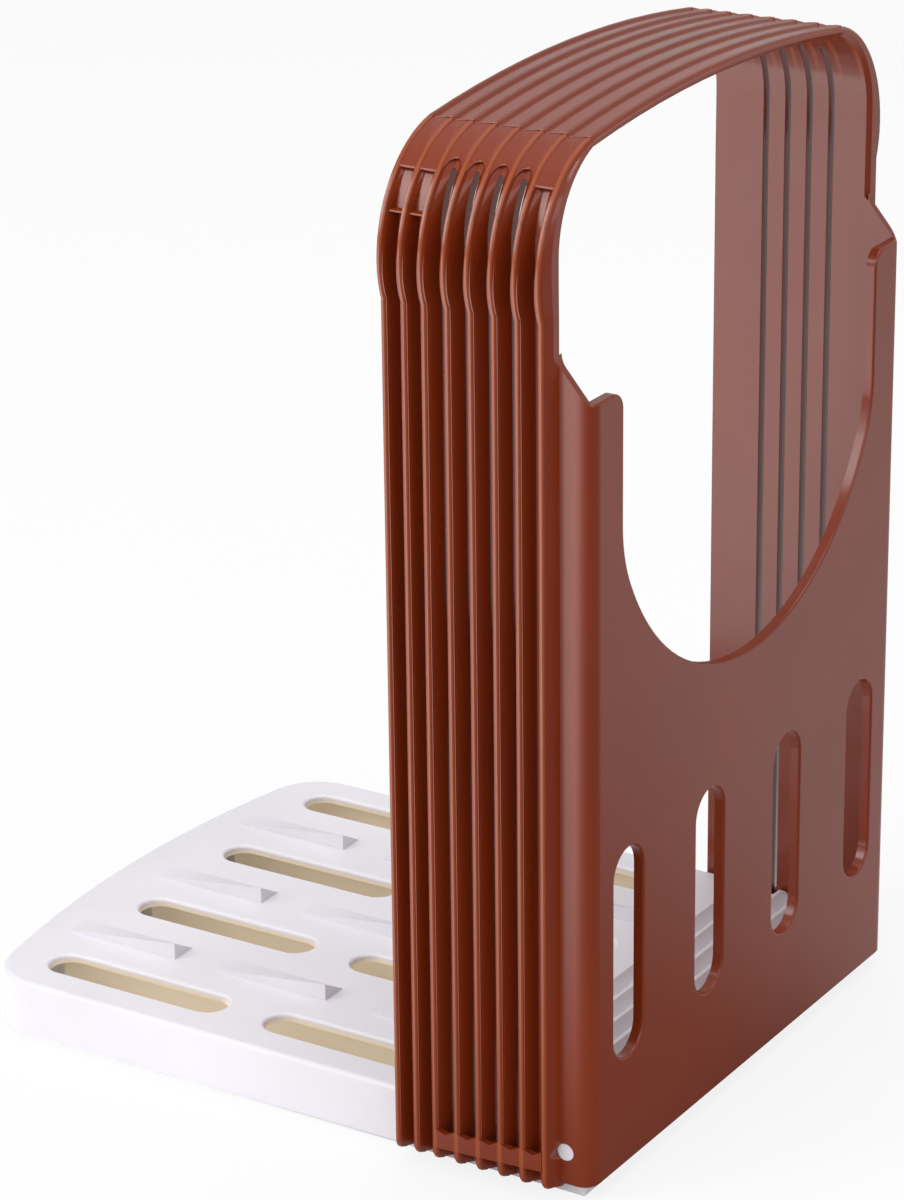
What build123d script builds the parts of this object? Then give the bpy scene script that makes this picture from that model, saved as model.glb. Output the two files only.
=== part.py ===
"""Folding bread slicer guide: a ribbed hood with knife slots and a board that folds up into it.

Millimetres. +X points from the board's free end to the stop plate, +Y across the loaf, +Z up.
The origin is on the table, under the middle of the whole guide.
"""
import os
from math import sqrt

from build123d import *

# ---------------------------------------------------------------- driving sizes

# Hinge between hood and board
HINGE_HEIGHT = 11.4          # axis above the table
HINGE_SETBACK = 6.5          # axis behind the stop plate's outer face
PIN_DIAMETER = 4.0
PIN_CLEARANCE = 0.08         # radial, running fit in the side walls

# Hood shell
SHELL_WIDTH = 140.0          # over the plain side walls
WALL = 1.8
GROUND_GAP = 2.8             # the hood hangs this far above the table
CROWN_HEIGHT = 235.5         # top of the ribs above the table
CROWN_RADIUS = 390.0         # the nearly flat top arc, at the rib crests
CROWN_THICKNESS = 2.2        # rib crest to the inside, at the top
CROWN_GROOVE = 0.6           # depth of the grooves between ribs, at the top
CREASE_INSET = 15.5          # side wall to the crease where the crown meets the corner
INNER_CORNER_RADIUS = 20.5

# Ribs
RIB_DEPTH = 4.2              # how far a straight rib stands out of the side wall
RIB_BULGE = 1.4              # extra depth where the ribs swell under the shoulder
WALL_BULGE = 0.1             # the wall swells a little with them
RIB_CORNER_RADIUS = 26.5
GROOVE_CORNER_RADIUS = 20.0
KINK_DROP = 37.9             # the ribs are straight up to this far below the crown
RIB_TIP = 1.0                # thickness of a rib's outer edge
TIP_FLAT = 0.5               # what its rounding leaves flat
TIP_ROUND = 0.3              # depth of that rounding
CROWN_STEP = 0.9             # rib's middle to the foot of its steep front, on the crown
TOE = 2.4                    # round lower tip of a rib
SLOT_RIB_COUNT = 6           # ribs beside the knife slots
SLOT_PITCH = 5.5
BACK_RIB_COUNT = 2           # closer ribs at the back edge
BACK_PITCH = 4.85
FRONT_RIB_SETBACK = 9.5      # front rib's middle behind the stop plate's outer face
RIM_SETBACK = 8.0            # hood's front rim behind the stop plate's outer face
RIM_CHAMFER = 1.0
BRIDGE_DEPTH = 0.5           # web that joins the ribs over the corner, below their crests
BRIDGE_LAND = 0.8            # rib's middle to the end of a groove's rounding
LEDGE_DROP = 19.8            # the closed grooves at the back are shallower above this
LEDGE_DEPTH = 1.2

# Knife slots and the bars that tie the rib ends
KNIFE_SLOT = 1.5             # width at the inner wall
KNIFE_SLOT_DROP = 11.0       # slots end this far below the crown
KNIFE_GROOVE_DROP = 9.4      # and the grooves outside them this far
CLOSED_GROOVE_DROP = 11.8
CROSSBAR_HEIGHT = 4.6
CROSSBAR_THICKNESS = 1.6
CROSSBAR_BACK_Z = 6.2        # lower edge at the back end
CROSSBAR_RISE = 1.5          # how much higher the front end lies
CROSSBAR_NOTCH = 1.0

# Stop plate
PLATE_THICKNESS = 2.5
PLATE_TOP = 180.8
PLATE_LIFT = 0.9             # plate's lower edge above the rib tips
PLATE_CORNER_RADIUS = 3.7
PLATE_EDGE_ROUND = 0.5
SHOULDER_FLAT = 1.2          # flat top of the side walls before the sloping shoulder
SHOULDER_RISE = 8.0
SHOULDER_FILLET = 4.5
CUTOUT_HALF_WIDTH = 56.9
CUTOUT_RADIUS = 60.0         # round bottom of the cut-out
CUTOUT_BOTTOM = 105.0
CUTOUT_BLEND = 30.0          # between the round bottom and the straight sides
CUTOUT_TOP_ROUND = 3.8
PLATE_SLOT_WIDTH = 12.7
PLATE_SLOT_BOTTOM = 29.2
PLATE_SLOT_HEIGHT = 49.3

# Board
LANE_PITCH = 36.0             # slot rows, in the board and in the stop plate
SLOT_ROWS = 4
BOARD_REACH = 165.5          # hinge axis to the free end
BOARD_THICKNESS = 14.1
BOARD_SIDE_CLEARANCE = 0.8   # to the hood's side walls
BOARD_FRONT_CLEARANCE = 0.5  # to the stop plate
BOARD_END_RADIUS = 285.0
BOARD_CORNER_RADIUS = 14.0
BOARD_EDGE_ROUND = 1.2
BOARD_FOOT_ROUND = 1.2
BOARD_SKIN = 2.0
BOARD_WALL = 2.2
PIN_SHORTFALL = 0.2          # pin's end below the side wall's outer face
CRUMB_SLOT_LENGTH = 49.2
CRUMB_SLOT_WIDTH = 9.5
CRUMB_SLOT_COLUMNS = 2
CRUMB_SLOT_PITCH = 60.8
CRUMB_SLOT_FIRST = 16.7      # free end to the first column
CRUMB_SLOT_ROUND = 0.8
BARB_LENGTH = 30.5
BARB_WIDTH = 7.2
BARB_HEIGHT = 4.0
BARB_TOE = 0.4               # height where a barb starts
BARB_ROWS = 3
BARB_COLUMNS = 3
BARB_PITCH = 42.3
BARB_FIRST = 41.5            # free end to the first column's steep ends
STIFFENER = 1.6
CUTTING_GROOVE = 2.2         # depth of the grooves under the knife slots
CUTTING_LAND = 0.8           # crest between two of them

# ---------------------------------------------------------------- derived places

length = BOARD_REACH + HINGE_SETBACK
face_x = length / 2
hinge_x = face_x - HINGE_SETBACK
free_end_x = -length / 2
rim_x = face_x - RIM_SETBACK
plate_back_x = face_x - PLATE_THICKNESS

wall_out = SHELL_WIDTH / 2
wall_in = wall_out - WALL
rib_out = wall_out + RIB_DEPTH
past_ribs = rib_out + 2 * RIB_BULGE
past_crown = CROWN_HEIGHT + CROWN_THICKNESS
kink_z = CROWN_HEIGHT - KINK_DROP
crease_y = wall_out - CREASE_INSET
flank = (SLOT_PITCH - KNIFE_SLOT - RIB_TIP) / 2

front_rib_x = face_x - FRONT_RIB_SETBACK
slot_rib_xs = [front_rib_x - SLOT_PITCH * i for i in range(SLOT_RIB_COUNT)]
back_rib_xs = [slot_rib_xs[-1] - BACK_PITCH * (i + 1) for i in range(BACK_RIB_COUNT)]
rib_xs = sorted(slot_rib_xs + back_rib_xs)
gap_xs = [(a + b) / 2 for a, b in zip(rib_xs, rib_xs[1:])]
knife_xs = gap_xs[BACK_RIB_COUNT:-1]
rib_foot_x = front_rib_x + (SLOT_PITCH - KNIFE_SLOT) / 2

board_half = wall_in - BOARD_SIDE_CLEARANCE
nose_radius = HINGE_SETBACK - PLATE_THICKNESS - BOARD_FRONT_CLEARANCE
board_front_x = hinge_x + nose_radius
strip_x = (knife_xs[0] + knife_xs[-1]) / 2
strip_length = knife_xs[-1] - knife_xs[0] + SLOT_PITCH


def arch_outline(straight, bulge, crown_drop, corner_radius, toe, foot=GROUND_GAP):
    """Hood's outline seen along X: foot, toe, straight side, swell, corner and crown."""
    widest = straight + bulge
    crown_z = CROWN_HEIGHT - crown_drop
    crown_radius = CROWN_RADIUS - crown_drop
    crease_z = crown_z - crown_radius + sqrt(crown_radius**2 - crease_y**2)
    corner_z = crease_z - sqrt(corner_radius**2 - (crease_y - widest + corner_radius) ** 2)
    with BuildLine() as outline:
        Line((0, foot), (straight - toe, foot))
        SagittaArc((straight - toe, foot), (straight, foot + toe), -toe / 4)
        Line((straight, foot + toe), (straight, kink_z))
        TangentArc((widest, corner_z), (straight, kink_z), tangent=(0, -1))
        TangentArc((widest, corner_z), (crease_y, crease_z), tangent=(0, 1))
        RadiusArc((crease_y, crease_z), (0, crown_z), -crown_radius)
        mirror(about=Plane.YZ)
    return outline.wires()[0]


crest = arch_outline(rib_out, RIB_BULGE, 0, RIB_CORNER_RADIUS, TOE)
brow = arch_outline(rib_out - TIP_ROUND, RIB_BULGE, TIP_ROUND / 2, RIB_CORNER_RADIUS, TOE)
step_depth = RIB_DEPTH * (CROWN_STEP - RIB_TIP / 2) / flank
step = arch_outline(rib_out - step_depth, RIB_BULGE, CROWN_GROOVE, RIB_CORNER_RADIUS, TOE)
bridge = arch_outline(rib_out - BRIDGE_DEPTH, RIB_BULGE, 3 * CROWN_GROOVE, RIB_CORNER_RADIUS, TOE)
shallow = arch_outline(wall_out + LEDGE_DEPTH, WALL_BULGE, 2 * CROWN_GROOVE, GROOVE_CORNER_RADIUS, WALL / 4)
inside = arch_outline(wall_in, WALL_BULGE, CROWN_THICKNESS, INNER_CORNER_RADIUS, WALL / 4, -GROUND_GAP)


def groove_floor(rise):
    """Outline in a groove, rise being the share of the way from a step up to the next crest."""
    return arch_outline(wall_out, WALL_BULGE, CROWN_GROOVE * (1 - rise), GROOVE_CORNER_RADIUS, WALL / 4)


# On the crown each rib has a steep front, then a gentle fall from the next rib's crest to its foot
sections = [(x + side * TIP_FLAT / 2, crest) for x in rib_xs for side in (-1, 1)]
sections += [(x + side * RIB_TIP / 2, brow) for x in rib_xs for side in (-1, 1)]
sections += [(x + CROWN_STEP, step) for x in rib_xs]
for x, next_x in zip(rib_xs, rib_xs[1:]):
    for side in (-1, 1):
        floor_x = (x + next_x + side * KNIFE_SLOT) / 2
        rise = (floor_x - x - CROWN_STEP) / (next_x - x - CROWN_STEP - RIB_TIP / 2)
        sections.append((floor_x, groove_floor(rise)))
sections += [(rib_foot_x, groove_floor(0)), (face_x, groove_floor(0))]
sections.sort(key=lambda section: section[0])

with BuildPart() as webs:
    with BuildSketch(Plane.YZ.offset(rib_xs[0])):
        make_face(bridge.edges())
    extrude(amount=rib_xs[-1] - rib_xs[0])
    with BuildSketch(Plane.XZ):
        for x, next_x in zip(rib_xs, rib_xs[1:]):
            with Locations(((x + next_x) / 2, 0)):
                if (x + next_x) / 2 in knife_xs:
                    SlotOverall(2 * (CROWN_HEIGHT - KNIFE_GROOVE_DROP), next_x - x - 2 * BRIDGE_LAND,
                                rotation=90)
                else:
                    Rectangle(next_x - x - 2 * BRIDGE_LAND, 2 * (CROWN_HEIGHT - CLOSED_GROOVE_DROP))
    extrude(amount=past_ribs, both=True, mode=Mode.SUBTRACT)

# ---------------------------------------------------------------- slicing hood

with BuildPart() as slicing_hood:
    # Ribbed arch, solid at first
    for x, outline in sections:
        with BuildSketch(Plane.YZ.offset(x)):
            make_face(outline.edges())
    loft(ruled=True)

    # The two closed grooves at the back are shallower under the corner
    with BuildSketch(Plane.YZ.offset(rib_xs[0])):
        make_face(shallow.edges())
        with Locations((0, CROWN_HEIGHT - LEDGE_DROP)):
            Rectangle(4 * wall_out, past_crown, align=(Align.CENTER, Align.MIN), mode=Mode.INTERSECT)
    extrude(amount=slot_rib_xs[-1] - rib_xs[0])

    # Webs that join the ribs over the corners
    add(webs.part)

    # Inside, open at the back and below, closed in front by the stop plate
    with BuildSketch(Plane.YZ.offset(free_end_x)):
        make_face(inside.edges())
    extrude(amount=plate_back_x - free_end_x, mode=Mode.SUBTRACT)

    # Front rim of the arch, sloping shoulder and top edge of the plate
    with BuildSketch(Plane.XZ) as front_profile:
        with BuildLine():
            Polyline((rim_x, past_crown), (rim_x, PLATE_TOP + SHOULDER_RISE),
                     (face_x - SHOULDER_FLAT, PLATE_TOP), (face_x + WALL, PLATE_TOP),
                     (face_x + WALL, past_crown), close=True)
        make_face()
        fillet(vertices().sort_by_distance((rim_x, PLATE_TOP + SHOULDER_RISE))[0], SHOULDER_FILLET)
    extrude(amount=past_ribs, both=True, mode=Mode.SUBTRACT)

    # Inner edge of the rim
    with BuildSketch(Plane.YZ.offset(rim_x)) as rim_mouth:
        make_face(inside.edges())
        offset(amount=RIM_CHAMFER)
        with Locations((0, PLATE_TOP + SHOULDER_RISE)):
            Rectangle(4 * wall_out, past_crown, align=(Align.CENTER, Align.MIN), mode=Mode.INTERSECT)
    extrude(amount=-RIM_CHAMFER, taper=45, mode=Mode.SUBTRACT)

    # Round corners beside the plate
    fillet(edges().filter_by(Axis.Z).group_by(Axis.X)[-1].filter_by(
        lambda edge: abs(edge.center().Y) > wall_in), PLATE_CORNER_RADIUS)

    # The plate's lower edge lies above the rib tips
    with BuildSketch(Plane.XZ):
        with Locations((rib_foot_x, 0)):
            Rectangle(RIM_SETBACK + WALL, GROUND_GAP + PLATE_LIFT, align=Align.MIN)
    extrude(amount=past_ribs, both=True, mode=Mode.SUBTRACT)

    # Cut-out and upright slots of the plate
    with BuildSketch(Plane.YZ.offset(face_x)) as cutout:
        with Locations((0, CUTOUT_BOTTOM + CUTOUT_RADIUS)):
            Circle(CUTOUT_RADIUS)
            Rectangle(2 * CUTOUT_HALF_WIDTH, PLATE_TOP - CUTOUT_BOTTOM,
                      align=(Align.CENTER, Align.MIN))
        with Locations((0, CUTOUT_BOTTOM)):
            Rectangle(2 * CUTOUT_HALF_WIDTH, 2 * PLATE_TOP, align=(Align.CENTER, Align.MIN),
                      mode=Mode.INTERSECT)
        fillet(vertices().group_by(Axis.Y)[0], CUTOUT_BLEND)
        with Locations((0, PLATE_TOP)):
            Rectangle(2 * wall_in, PLATE_TOP, align=(Align.CENTER, Align.MIN))
        for side in (-1, 1):
            corner = vertices().sort_by_distance((side * CUTOUT_HALF_WIDTH, PLATE_TOP))[0]
            fillet(corner, CUTOUT_TOP_ROUND)
        with Locations((0, PLATE_SLOT_BOTTOM + PLATE_SLOT_HEIGHT / 2)):
            with GridLocations(LANE_PITCH, 0, SLOT_ROWS, 1):
                SlotOverall(PLATE_SLOT_HEIGHT, PLATE_SLOT_WIDTH, rotation=90)
    extrude(amount=-(PLATE_THICKNESS + WALL), mode=Mode.SUBTRACT)
    plate_front = faces().filter_by(Axis.X).sort_by(Axis.X)[-1]
    fillet(plate_front.edges().filter_by(
        lambda edge: abs(edge.center().Y) < wall_out - PLATE_CORNER_RADIUS - PLATE_EDGE_ROUND / 2),
        PLATE_EDGE_ROUND)

    # Knife slots through both side walls
    with BuildSketch(Plane.XZ):
        for x in knife_xs:
            with Locations((x, 0)):
                SlotOverall(2 * (CROWN_HEIGHT - KNIFE_SLOT_DROP), KNIFE_SLOT, rotation=90)
    extrude(amount=past_ribs, both=True, mode=Mode.SUBTRACT)

    # Bars that tie the lower rib ends, notched between the ribs
    with BuildSketch(Plane.XZ.offset(-rib_out)) as crossbar:
        top = CROSSBAR_BACK_Z + CROSSBAR_HEIGHT
        teeth = [(slot_rib_xs[-1], top)]
        for i, x in enumerate(gap_xs[BACK_RIB_COUNT:]):
            rise = CROSSBAR_RISE * (i + 0.5) / (SLOT_RIB_COUNT - 1)
            teeth.append((x, top - CROSSBAR_NOTCH + rise))
            rise = CROSSBAR_RISE * (i + 1) / (SLOT_RIB_COUNT - 1)
            teeth.append((x + (SLOT_PITCH - RIB_TIP) / 2, top + rise))
        with BuildLine():
            Polyline((slot_rib_xs[-1], CROSSBAR_BACK_Z), *teeth,
                     (front_rib_x - RIB_TIP / 2, CROSSBAR_BACK_Z + CROSSBAR_RISE), close=True)
        make_face()
    extrude(amount=CROSSBAR_THICKNESS)
    mirror(about=Plane.XZ)

    # Hinge holes
    with BuildSketch(Plane.XZ):
        with Locations((hinge_x, HINGE_HEIGHT)):
            Circle(PIN_DIAMETER / 2 + PIN_CLEARANCE)
    extrude(amount=past_ribs, both=True, mode=Mode.SUBTRACT)
slicing_hood.part.label = "slicing_hood"

# ---------------------------------------------------------------- folding board

with BuildPart() as folding_board:
    end_sag = BOARD_END_RADIUS - sqrt(BOARD_END_RADIUS**2 - board_half**2)
    with BuildSketch() as board_plan:
        with BuildLine():
            Polyline((free_end_x + end_sag, -board_half), (board_front_x, -board_half),
                     (board_front_x, board_half), (free_end_x + end_sag, board_half))
            ThreePointArc((free_end_x + end_sag, board_half), (free_end_x, 0),
                          (free_end_x + end_sag, -board_half))
        make_face()
        fillet(vertices().group_by(Axis.X)[0], BOARD_CORNER_RADIUS)
    extrude(amount=BOARD_THICKNESS)
    fillet(edges().group_by(Axis.Z)[-1].sort_by(Axis.X)[:-1], BOARD_EDGE_ROUND)
    fillet(edges().group_by(Axis.Z)[0], BOARD_FOOT_ROUND)

    # Nose, round about the hinge so that the board turns beside the plate
    with BuildSketch(Plane.XZ):
        with Locations((hinge_x, HINGE_HEIGHT)):
            Rectangle(2 * nose_radius, BOARD_THICKNESS, align=Align.MIN)
            Circle(nose_radius, mode=Mode.SUBTRACT)
    extrude(amount=wall_out, both=True, mode=Mode.SUBTRACT)

    # Hollow underside with stiffeners under the barbs; thicker skin under the knife slots
    with BuildSketch():
        add(board_plan.sketch)
        offset(amount=-BOARD_WALL)
        with GridLocations(0, LANE_PITCH, 1, BARB_ROWS):
            Rectangle(2 * length, STIFFENER, mode=Mode.SUBTRACT)
        with Locations((strip_x + strip_length / 2, 0)):
            Rectangle(length, 2 * board_half, align=(Align.MIN, Align.CENTER), mode=Mode.SUBTRACT)
    extrude(amount=BOARD_THICKNESS - BOARD_SKIN - CUTTING_GROOVE, mode=Mode.SUBTRACT)
    with BuildSketch(Plane.XY.offset(BOARD_THICKNESS - BOARD_SKIN - CUTTING_GROOVE)):
        add(board_plan.sketch)
        offset(amount=-BOARD_WALL)
        with GridLocations(0, LANE_PITCH, 1, BARB_ROWS):
            Rectangle(2 * length, STIFFENER, mode=Mode.SUBTRACT)
        with Locations((strip_x - strip_length / 2, 0)):
            Rectangle(length, 2 * board_half, align=(Align.MIN, Align.CENTER), mode=Mode.SUBTRACT)
    extrude(amount=CUTTING_GROOVE, mode=Mode.SUBTRACT)

    # Crumb slots
    first_slot_x = free_end_x + CRUMB_SLOT_FIRST + CRUMB_SLOT_LENGTH / 2
    with BuildSketch(Plane.XY.offset(BOARD_THICKNESS)) as crumb_slots:
        with Locations((first_slot_x + CRUMB_SLOT_PITCH / 2, 0)):
            with GridLocations(CRUMB_SLOT_PITCH, LANE_PITCH, CRUMB_SLOT_COLUMNS, SLOT_ROWS):
                SlotOverall(CRUMB_SLOT_LENGTH, CRUMB_SLOT_WIDTH)
    extrude(amount=-BOARD_THICKNESS, mode=Mode.SUBTRACT)
    slot_mouths = faces().sort_by(Axis.Z)[-1].inner_wires()
    fillet([edge for mouth in slot_mouths for edge in mouth.edges()], CRUMB_SLOT_ROUND)

    # Cutting grooves under the knife slots, across the whole board
    with BuildSketch(Plane.XZ):
        for x in knife_xs:
            half_mouth = (SLOT_PITCH - CUTTING_LAND) / 2
            with BuildLine():
                Polyline((x - half_mouth, BOARD_THICKNESS), (x, BOARD_THICKNESS - CUTTING_GROOVE),
                         (x + half_mouth, BOARD_THICKNESS), close=True)
            make_face()
    extrude(amount=wall_out, both=True, mode=Mode.SUBTRACT)

    # Barbs that hold the loaf against the plate
    for column in range(BARB_COLUMNS):
        steep_x = free_end_x + BARB_FIRST + BARB_PITCH * column
        for row in range(BARB_ROWS):
            row_y = (row - (BARB_ROWS - 1) / 2) * LANE_PITCH
            for x, height in ((steep_x - BARB_LENGTH, BARB_TOE), (steep_x, BARB_HEIGHT)):
                with BuildSketch(Plane.YZ.offset(x)):
                    with BuildLine():
                        Polyline((row_y - BARB_WIDTH / 2, BOARD_THICKNESS - BOARD_SKIN / 2),
                                 (row_y + BARB_WIDTH / 2, BOARD_THICKNESS - BOARD_SKIN / 2),
                                 (row_y + BARB_WIDTH / 2, BOARD_THICKNESS),
                                 (row_y - BARB_WIDTH / 2, BOARD_THICKNESS + height), close=True)
                    make_face()
            loft(ruled=True)

    # Hinge pins, moulded on the board's sides
    for side in (-1, 1):
        with BuildSketch(Plane.XZ.offset(-side * (wall_out - PIN_SHORTFALL))):
            with Locations((hinge_x, HINGE_HEIGHT)):
                Circle(PIN_DIAMETER / 2)
        extrude(amount=side * (wall_out - PIN_SHORTFALL - board_half + BOARD_WALL / 2))
folding_board.part.label = "folding_board"

# ---------------------------------------------------------------- files

os.makedirs("parts", exist_ok=True)
export_step(slicing_hood.part, "parts/slicing_hood.step")
export_step(folding_board.part, "parts/folding_board.step")
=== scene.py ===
"""Bread slicer guide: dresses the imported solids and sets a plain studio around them."""

import logging
import math
from dataclasses import dataclass, field
from enum import Enum
from typing import Any, Sequence

import bmesh
import bpy
from mathutils import Matrix, Vector


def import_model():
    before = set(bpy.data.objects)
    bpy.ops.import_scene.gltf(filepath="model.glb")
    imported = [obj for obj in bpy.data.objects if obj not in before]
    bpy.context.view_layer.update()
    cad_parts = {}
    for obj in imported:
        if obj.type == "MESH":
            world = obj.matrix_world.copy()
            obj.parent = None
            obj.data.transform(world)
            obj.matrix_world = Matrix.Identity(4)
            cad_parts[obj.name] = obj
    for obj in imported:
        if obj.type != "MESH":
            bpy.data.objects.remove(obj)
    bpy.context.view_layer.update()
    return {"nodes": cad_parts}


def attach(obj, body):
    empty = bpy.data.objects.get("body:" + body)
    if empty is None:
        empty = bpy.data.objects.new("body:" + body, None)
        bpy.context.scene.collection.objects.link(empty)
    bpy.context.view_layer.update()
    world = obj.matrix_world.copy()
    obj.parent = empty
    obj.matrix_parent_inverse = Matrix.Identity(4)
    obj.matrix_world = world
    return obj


log = logging.getLogger("bread_slicer")

MM = 0.001
IMAGE_WIDTH = 904
IMAGE_HEIGHT = 1200
SENSOR = 36.0
SHARP_ANGLE = math.radians(40)

# Sockets of a Mix node in colour mode: factor, first and second colour, and the result.
COLOUR_MIX_INPUTS = (0, 6, 7)
COLOUR_MIX_OUTPUT = 2

# The hood's ribs, in mm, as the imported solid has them.
FIRST_RIB = 49.0
PITCH = 5.5
BACK_PITCH = 4.85
CREASE_Y = 54.5

Colour = tuple[float, float, float]

BLACK: Colour = (0.0, 0.0, 0.0)
WHITE = (1.0, 1.0, 1.0, 1.0)


def linear(red: int, green: int, blue: int) -> Colour:
    """Scene-linear colour of 8-bit sRGB values.

    Args:
        red: Red, 0 to 255.
        green: Green, 0 to 255.
        blue: Blue, 0 to 255.

    Returns:
        The three linear channels.
    """

    def channel(value: float) -> float:
        """One channel, by the sRGB curve."""
        return value / 12.92 if value <= 0.04045 else ((value + 0.055) / 1.055) ** 2.4

    return channel(red / 255), channel(green / 255), channel(blue / 255)


class Body(Enum):
    """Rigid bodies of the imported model."""

    HOOD = "hood"
    BOARD = "board"


class Node(Enum):
    """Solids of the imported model."""

    HOOD = "slicing_hood"
    BOARD = "folding_board"


# ------------------------------------------------------------------ shader maths


@dataclass(frozen=True)
class Mottle:
    """Noise by cells per metre, with the part of its range that is used."""

    scale: float
    detail: float
    low: float
    high: float


@dataclass
class Signal:
    """One output socket, with the arithmetic that shaders need."""

    tree: "ShaderTree"
    socket: bpy.types.NodeSocket

    def _math(self, operation: str, *values: Any) -> "Signal":
        """A Math node on the given values."""
        return self.tree.node("ShaderNodeMath", {"operation": operation}, dict(enumerate(values)))

    def __add__(self, other: Any) -> "Signal":
        """Sum."""
        return self._math("ADD", self, other)

    def __radd__(self, other: Any) -> "Signal":
        """Sum, with the number first."""
        return self._math("ADD", other, self)

    def __sub__(self, other: Any) -> "Signal":
        """Difference."""
        return self._math("SUBTRACT", self, other)

    def __rsub__(self, other: Any) -> "Signal":
        """Difference, with the number first."""
        return self._math("SUBTRACT", other, self)

    def __mul__(self, other: Any) -> "Signal":
        """Product."""
        return self._math("MULTIPLY", self, other)

    def __rmul__(self, other: Any) -> "Signal":
        """Product, with the number first."""
        return self._math("MULTIPLY", other, self)

    def absolute(self) -> "Signal":
        """Size without its sign."""
        return self._math("ABSOLUTE", self)

    def root(self) -> "Signal":
        """Square root."""
        return self._math("SQRT", self)

    def power(self, exponent: float) -> "Signal":
        """Raised to an exponent."""
        return self._math("POWER", self, exponent)

    def wrapped(self, period: float) -> "Signal":
        """Remainder within a period, never negative."""
        return self._math("FLOORED_MODULO", self, period)

    def at_least(self, other: Any) -> "Signal":
        """The larger of this and another."""
        return self._math("MAXIMUM", self, other)

    def clamped(self, low: float, high: float) -> "Signal":
        """Mapped from low..high onto 0..1 and held there.

        Args:
            low: Value that becomes 0.
            high: Value that becomes 1.

        Returns:
            The mapped signal.
        """
        return self.tree.node("ShaderNodeMapRange", {"clamp": True},
                              {"Value": self, "From Min": low, "From Max": high})


class ShaderTree:
    """A material's node tree, written as expressions."""

    def __init__(self, name: str) -> None:
        """Makes the material with an empty tree."""
        self.material = bpy.data.materials.new(name)
        self.material.use_nodes = True
        self.nodes = self.material.node_tree.nodes
        self.links = self.material.node_tree.links
        self.nodes.clear()

    def node(
        self, kind: str, settings: dict[str, Any], inputs: dict[Any, Any], output: Any = 0
    ) -> Signal:
        """Adds a node.

        Args:
            kind: The node's type.
            settings: Properties, set before the inputs.
            inputs: Values or signals by socket name or index.
            output: Name or index of the output wanted.

        Returns:
            The output as a signal.
        """
        made = self.nodes.new(kind)
        for key, value in settings.items():
            setattr(made, key, value)
        for key, value in inputs.items():
            if isinstance(value, Signal):
                self.links.new(value.socket, made.inputs[key])
            else:
                made.inputs[key].default_value = value
        return Signal(self, made.outputs[output])

    def mix(self, factor: Signal, first: Any, second: Any) -> Signal:
        """Colour mix of two colours or signals."""
        made = self.nodes.new("ShaderNodeMix")
        made.data_type = "RGBA"
        for index, value in zip(COLOUR_MIX_INPUTS, (factor, first, second)):
            if isinstance(value, Signal):
                self.links.new(value.socket, made.inputs[index])
            else:
                made.inputs[index].default_value = (*value, 1.0)
        return Signal(self, made.outputs[COLOUR_MIX_OUTPUT])

    def position(self) -> Signal:
        """Object coordinates, which are the row's frame in metres."""
        return self.node("ShaderNodeTexCoord", {}, {}, "Object")

    def axes(self) -> Sequence[Signal]:
        """X, Y and Z of the object coordinates."""
        place = self.position()
        return [self.node("ShaderNodeSeparateXYZ", {}, {"Vector": place}, axis) for axis in "XYZ"]

    def bump(self, height: Signal, strength: float, distance: float) -> Signal:
        """Normal of a surface raised by a height, of which 1 stands for a distance in metres."""
        values = {"Height": height, "Strength": strength, "Distance": distance}
        return self.node("ShaderNodeBump", {}, values, "Normal")

    def noise(self, scale: float, detail: float = 2.0) -> Signal:
        """Noise on object coordinates, by cells per metre."""
        values = {"Vector": self.position(), "Scale": scale, "Detail": detail}
        return self.node("ShaderNodeTexNoise", {}, values)

    def mottle(self, mottle: Mottle) -> Signal:
        """Noise stretched to 0..1 over the part of its range that is used."""
        return self.noise(mottle.scale, mottle.detail).clamped(mottle.low, mottle.high)

    def output(self, shader: Signal) -> bpy.types.Material:
        """Connects the surface and returns the material."""
        made = self.nodes.new("ShaderNodeOutputMaterial")
        self.links.new(shader.socket, made.inputs["Surface"])
        return self.material


# ------------------------------------------------------------------ finishes


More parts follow.
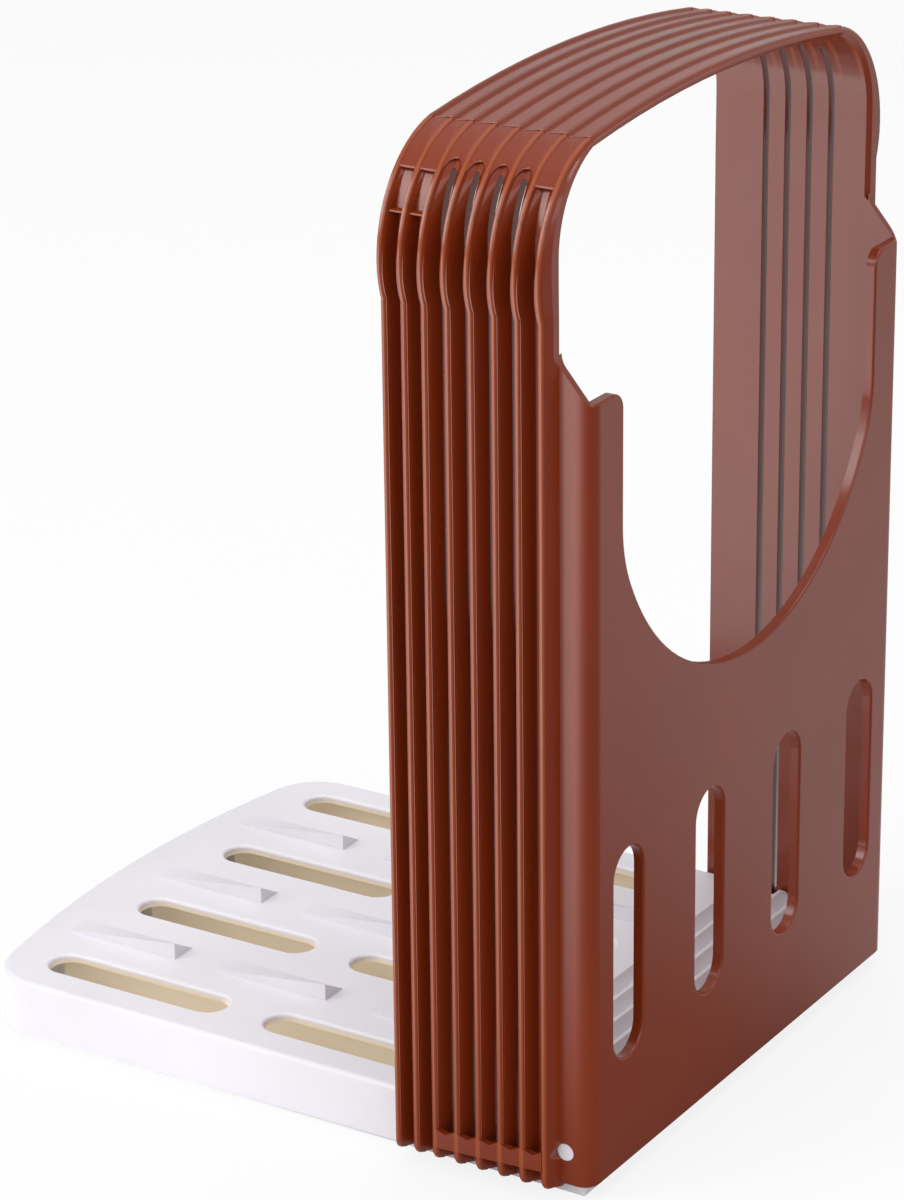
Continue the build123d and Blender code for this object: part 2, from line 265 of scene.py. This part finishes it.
@dataclass(frozen=True)
class HoodPlastic:
    """Deep brown ABS with a high gloss; a lighter orange is painted on the thin rib crests as their
    highlight and glow.
    """

    slot: str = "hood_plastic"
    base: Colour = linear(114, 41, 17)
    warm: Colour = linear(130, 47, 13)
    # painted highlight and glow of the rib crests
    crest_painted_light: Colour = linear(150, 68, 30)
    tip_half: float = 0.42 * MM
    tip_fade: float = 0.25 * MM
    back_ribs_end: float = 46.5 * MM
    back_ribs_fade: float = 0.1 * MM
    crease_fade: float = 1.0 * MM
    rib_depth_start: float = 72.4 * MM
    rib_depth_fade: float = 0.8 * MM
    shoulder_z: float = 216.0 * MM
    shoulder_fade: float = 4.0 * MM
    flow: Mottle = Mottle(14.0, 3.0, 0.2, 0.8)
    smears: Mottle = Mottle(60.0, 3.0, 0.3, 0.7)
    ripple_scale: float = 120.0
    speck_scale: float = 900.0
    speck_share: float = 0.15
    roughness: float = 0.2
    roughness_spread: float = 0.06
    ripple_strength: float = 0.25
    ripple_depth: float = 0.12 * MM
    refraction: float = 1.52
    coat: float = 0.15
    coat_roughness: float = 0.05

    def _on_rib(self, x: Signal, pitch: float) -> Signal:
        """Mask of the ribs' middles along X, for a pitch in mm."""
        half = pitch / 2
        distance = ((x + (half - FIRST_RIB) * MM).wrapped(pitch * MM) - half * MM).absolute()
        return distance.clamped(self.tip_half + self.tip_fade, self.tip_half)

    def _painted_crest_light_mask(self, tree: ShaderTree) -> Signal:
        """Mask of the thin rib crests, where a lighter colour is painted as their highlight and the
        light through the plastic.
        """
        x, y, z = tree.axes()
        behind = x.clamped(self.back_ribs_end + self.back_ribs_fade, self.back_ribs_end)
        crest = self._on_rib(x, PITCH) * (1.0 - behind) + self._on_rib(x, BACK_PITCH) * behind
        depth = y.absolute()
        stands = depth.clamped(self.rib_depth_start, self.rib_depth_start + self.rib_depth_fade)
        bend = z.clamped(self.shoulder_z, self.shoulder_z + self.shoulder_fade)
        past_crease = depth.clamped(CREASE_Y * MM, CREASE_Y * MM + self.crease_fade)
        return crest * stands.at_least(bend * past_crease)

    def material(self) -> bpy.types.Material:
        """Builds the glossy brown plastic.

        Returns:
            The material.
        """
        tree = ShaderTree(self.slot)
        plain = tree.mix(tree.mottle(self.flow), self.base, self.warm)
        ripple = tree.noise(self.ripple_scale) + self.speck_share * tree.noise(self.speck_scale)
        shader = tree.node("ShaderNodeBsdfPrincipled", {}, {
            # the rib crests get the painted highlight and glow
            "Base Color": tree.mix(self._painted_crest_light_mask(tree), plain, self.crest_painted_light),
            "Roughness": self.roughness + self.roughness_spread * tree.mottle(self.smears),
            "Normal": tree.bump(ripple, self.ripple_strength, self.ripple_depth),
            "IOR": self.refraction,
            "Coat Weight": self.coat,
            "Coat Roughness": self.coat_roughness,
        }, "BSDF")
        return tree.output(shader)


@dataclass(frozen=True)
class BoardPlastic:
    """White polypropylene with a soft sheen, faintly scuffed, with a cream colour and glow painted
    on the walls inside as bounced light.
    """

    slot: str = "board_plastic"
    base: Colour = linear(230, 227, 234)
    worn: Colour = linear(222, 220, 225)
    # painted bounce light on the walls inside the board, not the plastic's own colour
    painted_bounce_cream: Colour = linear(208, 194, 171)
    clouds: Mottle = Mottle(22.0, 4.0, 0.35, 0.7)
    scuffs: Mottle = Mottle(80.0, 4.0, 0.35, 0.7)
    grain_scale: float = 1400.0
    roughness: float = 0.34
    roughness_spread: float = 0.1
    grain_strength: float = 0.2
    grain_depth: float = 0.04 * MM
    refraction: float = 1.5
    # strength of the painted glow on the walls inside the board
    glow: float = 0.26
    skin_underside: float = 12.9 * MM
    inset_end: float = -66.7 * MM
    inset_side: float = 53.4 * MM
    inset_radius: float = 12.8 * MM
    groove_start: float = 47.5 * MM
    groove_depth: float = 1.6 * MM
    pocket_end: float = 72.0 * MM
    wall_fade: float = 0.2 * MM
    fade: float = 0.3 * MM

    def _painted_bounce_mask(self, tree: ShaderTree) -> Signal:
        """Mask of the walls inside the hollow board, where a cream colour and a glow are painted
        for the light that bounces inside and comes through the plastic.
        """
        x, y, z = tree.axes()
        past_end = (self.inset_end - x).at_least(0.0)
        past_side = (y.absolute() - self.inset_side).at_least(0.0)
        reach = (past_end * past_end + past_side * past_side).root()
        wall, blur = self.inset_radius, self.wall_fade
        inside = reach.clamped(wall + blur, wall - blur)
        under_grooves = x.clamped(self.groove_start - self.fade, self.groove_start + self.fade)
        depth = z + self.groove_depth * under_grooves
        below = depth.clamped(self.skin_underside + self.fade, self.skin_underside - self.fade)
        behind = x.clamped(self.pocket_end + self.fade, self.pocket_end - self.fade)
        return inside * below * behind

    def material(self) -> bpy.types.Material:
        """Builds the satin white plastic.

        Returns:
            The material.
        """
        tree = ShaderTree(self.slot)
        hollow = self._painted_bounce_mask(tree)
        plain = tree.mix(tree.mottle(self.clouds), self.base, self.worn)
        grain = tree.noise(self.grain_scale)
        shader = tree.node("ShaderNodeBsdfPrincipled", {}, {
            # painted bounce light: cream colour and a glow on the walls inside the board
            "Base Color": tree.mix(hollow, plain, self.painted_bounce_cream),
            "Roughness": self.roughness + self.roughness_spread * tree.mottle(self.scuffs),
            "Normal": tree.bump(grain, self.grain_strength, self.grain_depth),
            "IOR": self.refraction,
            "Emission Color": tree.mix(hollow, BLACK, self.painted_bounce_cream),
            "Emission Strength": self.glow,
        }, "BSDF")
        return tree.output(shader)


# ------------------------------------------------------------------ repeated details

Profile = Sequence[tuple[float, float]]


@dataclass(frozen=True)
class Prism:
    """Closed strip along X through one YZ profile per station, on both sides of the hood, in mm."""

    stations: Sequence[float]
    profiles: Sequence[Profile]

    def mesh(self, name: str) -> bpy.types.Mesh:
        """Builds the strip and its mirror image.

        Args:
            name: Name of the mesh.

        Returns:
            The mesh, in metres.
        """
        shape = bmesh.new()
        for side in (-1, 1):
            rings = [[shape.verts.new((x * MM, side * y * MM, z * MM)) for y, z in profile]
                     for x, profile in zip(self.stations, self.profiles)]
            for ring, following in zip(rings, rings[1:]):
                for i, corner in enumerate(ring):
                    shape.faces.new((ring[i - 1], corner, following[i], following[i - 1]))
            shape.faces.new(rings[0])
            shape.faces.new(rings[-1])
        bmesh.ops.recalc_face_normals(shape, faces=shape.faces)
        for face in shape.faces:
            face.smooth = True
        made = bpy.data.meshes.new(name)
        shape.to_mesh(made)
        shape.free()
        made.set_sharp_from_angle(angle=SHARP_ANGLE)
        return made


class RowAlongX:
    """Geometry Nodes tree that repeats a mesh along X."""

    def __init__(self) -> None:
        """Builds the tree with its named inputs."""
        self.tree = bpy.data.node_groups.new("row_along_x", "GeometryNodeTree")
        face = self.tree.interface
        face.new_socket("Geometry", in_out="INPUT", socket_type="NodeSocketGeometry")
        face.new_socket("Count", in_out="INPUT", socket_type="NodeSocketInt")
        face.new_socket("Pitch", in_out="INPUT", socket_type="NodeSocketFloat")
        face.new_socket("Finish", in_out="INPUT", socket_type="NodeSocketMaterial")
        face.new_socket("Geometry", in_out="OUTPUT", socket_type="NodeSocketGeometry")
        nodes, links = self.tree.nodes, self.tree.links
        given, result = nodes.new("NodeGroupInput"), nodes.new("NodeGroupOutput")
        step = nodes.new("ShaderNodeCombineXYZ")
        line = nodes.new("GeometryNodeMeshLine")
        line.mode = "OFFSET"
        copies = nodes.new("GeometryNodeInstanceOnPoints")
        real = nodes.new("GeometryNodeRealizeInstances")
        painted = nodes.new("GeometryNodeSetMaterial")
        links.new(given.outputs["Pitch"], step.inputs["X"])
        links.new(given.outputs["Count"], line.inputs["Count"])
        links.new(step.outputs["Vector"], line.inputs["Offset"])
        links.new(line.outputs["Mesh"], copies.inputs["Points"])
        links.new(given.outputs["Geometry"], copies.inputs["Instance"])
        links.new(copies.outputs["Instances"], real.inputs["Geometry"])
        links.new(real.outputs["Geometry"], painted.inputs["Geometry"])
        links.new(given.outputs["Finish"], painted.inputs["Material"])
        links.new(painted.outputs["Geometry"], result.inputs["Geometry"])

    def row(
        self, mesh: bpy.types.Mesh, count: int, pitch: float, finish: bpy.types.Material
    ) -> bpy.types.Mesh:
        """Repeats a mesh that lies in its first place.

        Args:
            mesh: What is repeated.
            count: How many there are.
            pitch: Distance between two, in mm.
            finish: Their material.

        Returns:
            The realized mesh.
        """
        holder = bpy.data.objects.new(mesh.name, mesh)
        bpy.context.scene.collection.objects.link(holder)
        modifier = holder.modifiers.new("row", "NODES")
        modifier.node_group = self.tree
        values = {"Count": count, "Pitch": pitch * MM, "Finish": finish}
        for item in self.tree.interface.items_tree:
            if item.in_out == "INPUT" and item.name in values:
                modifier[item.identifier] = values[item.name]
        holder.update_tag()
        bpy.context.view_layer.update()
        evaluated = holder.evaluated_get(bpy.context.evaluated_depsgraph_get())
        made = bpy.data.meshes.new_from_object(evaluated)
        bpy.data.objects.remove(holder)
        return made


@dataclass(frozen=True)
class ShoulderSizes:
    """Places on the hood's shoulder, in mm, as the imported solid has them."""

    arc_y: float = 49.1
    arc_z: float = 205.73
    web_radius: float = 26.05
    web_root: float = 24.6
    crease_y: float = CREASE_Y
    crease_z: float = 231.67
    step: float = 0.6
    crown_z: float = 235.5
    crown_radius: float = 390.0
    band_lift: float = 0.06
    knife_gap: float = FIRST_RIB + PITCH / 2
    knife_gaps: int = 4
    back_gap: float = FIRST_RIB - 1.5 * BACK_PITCH
    back_gaps: int = 2
    front_gap: float = FIRST_RIB + 4.5 * PITCH
    arch_top: float = 226.2
    arch_radius: float = 1.95
    arch_root: float = 62.7
    closed_end: float = 223.7
    closed_root: float = 64.5
    web_play: float = 0.1
    edge_height: float = 0.8
    edge: Profile = ((0.35, 0.45), (0.5, 0.22), (0.48, 0.06), (0.3, 0.0))
    root_slope: tuple[float, float] = (-0.6, 0.8)
    band_start: float = 0.95
    band_end: float = 0.3
    band_thickness: float = 0.3
    bead_height: float = 0.18
    bead_width: float = 0.234
    step_start: float = 0.5
    step_foot: float = 0.9
    lip_z: float = 215.7
    lip_play: float = 0.35
    lip: Profile = ((69.5, 0.5), (72.0, 0.32), (72.3, 0.2), (72.4, 0.0), (72.3, -0.2), (72.0, -0.3),
                    (69.5, -0.35))
    arc_segments: int = 10
    arch_segments: int = 8
    bead_segments: int = 8
    crown_segments: int = 12


@dataclass
class Shoulder:
    """Webs between the ribs over the shoulder, crown bands, the parting line and the lips below."""

    sizes: ShoulderSizes = ShoulderSizes()

    def _on_arc(self, radius: float, turn: float) -> tuple[float, float]:
        """Point about the shoulder's centre, at a radius and an angle above the horizontal."""
        size = self.sizes
        return size.arc_y + radius * math.cos(turn), size.arc_z + radius * math.sin(turn)

    def _crease_turn(self, radius: float) -> float:
        """Angle at which an arc about the shoulder's centre meets the crease."""
        return math.acos((self.sizes.crease_y - self.sizes.arc_y) / radius)

    def _web(self, end: float, root_y: float) -> Profile:
        """Profile of a web that stops at a height, its lower edge rounded."""
        size = self.sizes
        first = self._crease_turn(size.web_radius)
        last = math.asin((end + size.edge_height - size.arc_z) / size.web_radius)
        outer = [self._on_arc(size.web_radius, first + (last - first) * i / size.arc_segments)
                 for i in range(size.arc_segments + 1)]
        edge = [(outer[-1][0] + y, end + z) for y, z in size.edge]
        slope_y, slope_z = size.root_slope
        top_root = self._on_arc(size.web_root, self._crease_turn(size.web_root))
        return [*outer, *edge, (root_y, end), (root_y + slope_y, end + slope_z), top_root]

    def _arched(self, middle: float) -> Prism:
        """Web over a knife slot, its end an arch."""
        size = self.sizes
        half = PITCH / 2 - size.web_play
        count = size.arch_segments
        stations = [half * math.sin(math.pi / 2 * i / count) for i in range(-count, count + 1)]
        springing = size.arch_top - size.arch_radius
        ends = [springing + math.sqrt(max(size.arch_radius**2 - x * x, 0.0)) for x in stations]
        profiles = [self._web(end, size.arch_root) for end in ends]
        return Prism([middle + x for x in stations], profiles)

    def _closed(self, middle: float, pitch: float) -> Prism:
        """Web over a closed groove, its end straight."""
        size = self.sizes
        half = pitch / 2 - size.web_play
        profile = self._web(size.closed_end, size.closed_root)
        return Prism((middle - half, middle + half), (profile, profile))

    def _bead(self, rib: float, pitch: float) -> Prism:
        """Parting line from one rib's crest over its step to the next crest."""
        size = self.sizes
        stations = (rib + size.step_start, rib + size.step_foot, rib + pitch - size.step_start,
                    rib + pitch + size.step_start)
        turns = [math.tau * i / size.bead_segments for i in range(size.bead_segments)]
        profiles = [[(size.crease_y + size.bead_width * math.cos(t),
                      size.crease_z - drop + size.bead_height * math.sin(t)) for t in turns]
                    for drop in (0.0, size.step, 0.0, 0.0)]
        return Prism(stations, profiles)

    def _band(self, rib: float, pitch: float) -> Prism:
        """Smooth band on the crown, from the foot of one rib's step up to the next crest."""
        size = self.sizes
        base = size.crown_z - size.crown_radius + size.band_lift
        across = [size.crease_y * i / size.crown_segments for i in range(size.crown_segments + 1)]
        profiles = []
        for drop in (size.step, size.band_lift):
            radius = size.crown_radius - drop
            outer = [(y, base + math.sqrt(radius**2 - y * y)) for y in across]
            profiles.append([*outer, *((y, z - size.band_thickness) for y, z in reversed(outer))])
        return Prism((rib + size.band_start, rib + pitch - size.band_end), profiles)

    def _lip(self, middle: float, pitch: float) -> Prism:
        """Lip across a closed groove at the foot of its shallow part."""
        size = self.sizes
        half = pitch / 2 - size.lip_play
        profile = [(y, size.lip_z + z) for y, z in size.lip]
        return Prism((middle - half, middle + half), (profile, profile))

    def build(self, finish: bpy.types.Material) -> bpy.types.Object:
        """Makes all of them as one piece.

        Args:
            finish: The hood's plastic.

        Returns:
            The piece.
        """
        size = self.sizes
        rows = RowAlongX()
        back_rib = size.back_gap - BACK_PITCH / 2
        knife_rib = size.knife_gap - PITCH / 2
        plan = (
            ("arched_webs", self._arched(size.knife_gap), size.knife_gaps, PITCH),
            ("back_webs", self._closed(size.back_gap, BACK_PITCH), size.back_gaps, BACK_PITCH),
            ("front_web", self._closed(size.front_gap, PITCH), 1, PITCH),
            ("back_parting", self._bead(back_rib, BACK_PITCH), size.back_gaps, BACK_PITCH),
            ("parting", self._bead(knife_rib, PITCH), size.knife_gaps + 1, PITCH),
            ("back_bands", self._band(back_rib, BACK_PITCH), size.back_gaps, BACK_PITCH),
            ("bands", self._band(knife_rib, PITCH), size.knife_gaps + 1, PITCH),
            ("lips", self._lip(size.back_gap, BACK_PITCH), size.back_gaps, BACK_PITCH),
        )
        joined = bmesh.new()
        for name, prism, count, pitch in plan:
            joined.from_mesh(rows.row(prism.mesh(name), count, pitch, finish))
        mesh = bpy.data.meshes.new("shoulder_webs")
        joined.to_mesh(mesh)
        joined.free()
        mesh.materials.append(finish)
        piece = bpy.data.objects.new("shoulder_webs", mesh)
        bpy.context.scene.collection.objects.link(piece)
        return piece


# ------------------------------------------------------------------ the guide


@dataclass
class SlicingHood:
    """The brown ribbed arch with its stop plate."""

    finish: HoodPlastic = HoodPlastic()

    def dress(self, node: bpy.types.Object) -> None:
        """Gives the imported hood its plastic.

        Args:
            node: The hood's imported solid.
        """
        plastic = self.finish.material()
        node.data.materials.clear()
        node.data.materials.append(plastic)
        webs = Shoulder().build(plastic)
        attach(webs, Body.HOOD.value)
        log.info("dressed %s", node.name)


@dataclass
class FoldingBoard:
    """The white slotted board under the loaf."""

    finish: BoardPlastic = BoardPlastic()

    def dress(self, node: bpy.types.Object) -> None:
        """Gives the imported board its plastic.

        Args:
            node: The board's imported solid.
        """
        node.data.materials.clear()
        node.data.materials.append(self.finish.material())
        log.info("dressed %s", node.name)


# ------------------------------------------------------------------ studio


@dataclass
class Softbox:
    """A rectangular lamp that looks at the guide."""

    name: str
    place: tuple[float, float, float]
    width: float
    height: float
    watts: float

    def build(self, target: Vector) -> None:
        """Places the lamp.

        Args:
            target: Point it looks at.
        """
        data = bpy.data.lights.new(self.name, "AREA")
        data.shape = "RECTANGLE"
        data.size = self.width
        data.size_y = self.height
        data.energy = self.watts
        lamp = bpy.data.objects.new(self.name, data)
        lamp.location = Vector(self.place)
        lamp.rotation_mode = "QUATERNION"
        lamp.rotation_quaternion = (target - lamp.location).to_track_quat("-Z", "Y")
        bpy.context.scene.collection.objects.link(lamp)


@dataclass
class Studio:
    """Camera, pale floor, white surroundings and soft lamps."""

    azimuth: float = 32.09
    elevation: float = 21.0
    roll: float = -0.691
    distance: float = 0.963
    focal_pixels: float = 4214.7
    target: Vector = field(default_factory=lambda: Vector((0.00863, 0.0, 0.10157)))
    floor_size: float = 6.0
    world_level: float = 0.55
    floor_shade: Colour = (0.85, 0.85, 0.85)
    floor_glow: float = 0.82
    mirrored_tint: Colour = (1.0, 0.97, 0.98)
    flag_level: float = 0.14
    reflected: Sequence[tuple[tuple[float, float, float], float, float]] = (
        ((-0.53, -0.85, 0.0), 3.0, 2.6),
        ((0.6, 0.8, 0.0), 8.0, 0.48),
    )
    lamps: Sequence[Softbox] = (
        Softbox("key_softbox", (0.05, -1.4, 1.2), 1.0, 1.0, 7.5),
        Softbox("left_softbox", (-0.95, -1.35, 1.05), 0.6, 1.4, 11.0),
        Softbox("front_softbox", (1.5, -0.5, 0.8), 1.0, 1.0, 3.5),
        Softbox("top_softbox", (0.1, 0.2, 1.8), 1.2, 1.2, 11.0),
    )

    def camera(self) -> None:
        """Places the camera where the photograph was taken from."""
        turn, lift, roll = map(math.radians, (self.azimuth, self.elevation, self.roll))
        level = Vector((math.cos(turn), math.sin(turn), 0.0))
        ahead = Vector((math.sin(turn), -math.cos(turn), 0.0))
        back = ahead * math.cos(lift) + Vector((0.0, 0.0, math.sin(lift)))
        upright = back.cross(level)
        right = level * math.cos(roll) + upright * math.sin(roll)
        up = upright * math.cos(roll) - level * math.sin(roll)
        data = bpy.data.cameras.new("camera")
        data.sensor_width = SENSOR
        data.lens = SENSOR * self.focal_pixels / max(IMAGE_WIDTH, IMAGE_HEIGHT)
        camera = bpy.data.objects.new("camera", data)
        place = Matrix((right, up, back)).transposed().to_4x4()
        place.translation = self.target + back * self.distance
        camera.matrix_world = place
        bpy.context.scene.collection.objects.link(camera)
        bpy.context.scene.camera = camera

    def surroundings(self) -> None:
        """White all round, brighter to the camera than as a light."""
        world = bpy.data.worlds.new("white_studio")
        world.use_nodes = True
        nodes, links = world.node_tree.nodes, world.node_tree.links
        nodes.clear()
        path = nodes.new("ShaderNodeLightPath")
        seen = nodes.new("ShaderNodeMath")
        seen.operation = "MAXIMUM"
        links.new(path.outputs["Is Camera Ray"], seen.inputs[0])
        links.new(path.outputs["Is Transmission Ray"], seen.inputs[1])
        mix = nodes.new("ShaderNodeMixShader")
        links.new(seen.outputs[0], mix.inputs[0])
        for socket, level in ((mix.inputs[1], self.world_level), (mix.inputs[2], 1.0)):
            white = nodes.new("ShaderNodeBackground")
            white.inputs["Color"].default_value = WHITE
            white.inputs["Strength"].default_value = level
            links.new(white.outputs[0], socket)
        out = nodes.new("ShaderNodeOutputWorld")
        links.new(mix.outputs[0], out.inputs["Surface"])
        bpy.context.scene.world = world

    def floor_material(self) -> bpy.types.Material:
        """Pale floor, which glossy faces see as softboxes and dark flags around the guide.

        Returns:
            The material.
        """
        tree = ShaderTree("studio_floor")
        diffuse = tree.node("ShaderNodeBsdfDiffuse", {}, {"Color": (*self.floor_shade, 1.0)})
        glow = tree.node("ShaderNodeEmission", {}, {"Color": WHITE, "Strength": 1.0})
        seen = tree.node("ShaderNodeLightPath", {}, {}, "Is Camera Ray") * self.floor_glow
        plain = tree.node("ShaderNodeMixShader", {}, {0: seen, 1: diffuse, 2: glow})
        place = tree.position()
        bearing = tree.node("ShaderNodeVectorMath", {"operation": "NORMALIZE"}, {0: place})
        strength: Any = self.flag_level
        for direction, sharpness, level in self.reflected:
            facing = tree.node("ShaderNodeVectorMath", {"operation": "DOT_PRODUCT"},
                               {0: bearing, 1: direction}, "Value")
            strength = strength + facing.clamped(0.0, 1.0).power(sharpness) * level
        mirrored = tree.node("ShaderNodeEmission", {},
                             {"Color": (*self.mirrored_tint, 1.0), "Strength": strength})
        glossy = tree.node("ShaderNodeLightPath", {}, {}, "Is Glossy Ray")
        return tree.output(tree.node("ShaderNodeMixShader", {}, {0: glossy, 1: plain, 2: mirrored}))

    def floor(self) -> None:
        """A pale floor that keeps a light shadow."""
        half = self.floor_size / 2
        mesh = bpy.data.meshes.new("studio_floor")
        corners = [(-half, -half, 0), (half, -half, 0), (half, half, 0), (-half, half, 0)]
        mesh.from_pydata(corners, [], [(0, 1, 2, 3)])
        plane = bpy.data.objects.new("studio_floor", mesh)
        bpy.context.scene.collection.objects.link(plane)
        mesh.materials.append(self.floor_material())

    def build(self) -> None:
        """Sets up the whole studio."""
        bpy.context.scene.view_settings.view_transform = "Standard"
        self.camera()
        self.surroundings()
        self.floor()
        for lamp in self.lamps:
            lamp.build(self.target)


def main() -> None:
    """Loads the frame, dresses each piece and sets the studio."""
    logging.basicConfig(level=logging.INFO, format="%(name)s: %(message)s")
    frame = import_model()
    Studio().build()
    SlicingHood().dress(frame["nodes"][Node.HOOD.value])
    FoldingBoard().dress(frame["nodes"][Node.BOARD.value])


if __name__ == "__main__":
    main()
